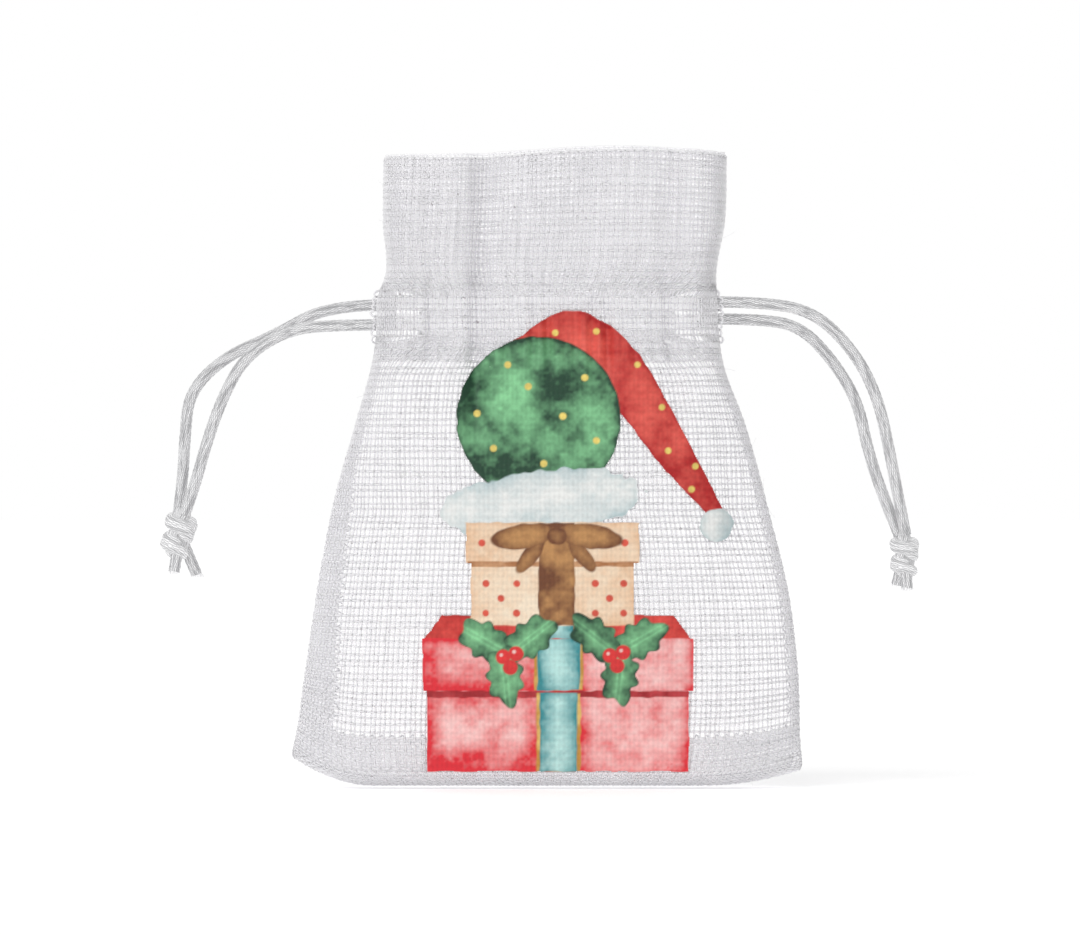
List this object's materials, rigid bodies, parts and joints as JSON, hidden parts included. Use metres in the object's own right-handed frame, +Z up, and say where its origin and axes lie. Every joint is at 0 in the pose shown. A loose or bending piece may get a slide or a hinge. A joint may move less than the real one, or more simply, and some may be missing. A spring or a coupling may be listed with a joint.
{
  "type": "drawcord gift sack",
  "caption": "Small open-weave cloth gift sack with a doubled header, a stitched casing, two knotted satin drawcords and a printed front.",
  "frame": {"origin": "middle of the flattened bottom that the sack stands on", "axes": "+Z up to the mouth, the printed front faces -Y, +X to the right seen from the front"},
  "size_m": [0.1183, 0.0282, 0.1],
  "materials": {
    "cloth": "white open plain-weave linen-look cloth",
    "cord": "white satin cord with a soft sheen",
    "thread": "white sewing thread",
    "print": "thin watercolour-style transfer film in red, green, cream and teal"
  },
  "bodies": {
    "sack": {"front_panel": "cloth", "back_panel": "cloth", "front_facing": "cloth", "back_facing": "cloth", "bottom_allowance": "cloth", "left_allowance": "cloth", "right_allowance": "cloth", "lower_casing_stitches_front": "thread", "upper_casing_stitches_front": "thread", "lower_casing_stitches_back": "thread", "upper_casing_stitches_back": "thread", "left_side_stitches": "thread", "right_side_stitches": "thread", "bottom_stitches": "thread", "left_overlock": "thread", "right_overlock": "thread", "bottom_overlock": "thread", "printed_motif": "print"},
    "left_drawcord": {"left_cord_in_casing": "cord", "left_cord_front_strand": "cord", "left_cord_back_strand": "cord", "left_knot": "cord", "left_front_tail": "cord", "left_back_tail": "cord"},
    "right_drawcord": {"right_cord_in_casing": "cord", "right_cord_front_strand": "cord", "right_cord_back_strand": "cord", "right_knot": "cord", "right_front_tail": "cord", "right_back_tail": "cord"}
  },
  "joints": [
    {"name": "left_drawcord_slide", "type": "slide", "parent": "sack", "child": "left_drawcord", "axis": [1, 0, 0], "range_m": [0, 0.004]},
    {"name": "right_drawcord_slide", "type": "slide", "parent": "sack", "child": "right_drawcord", "axis": [-1, 0, 0], "range_m": [0, 0.004]}
  ]
}
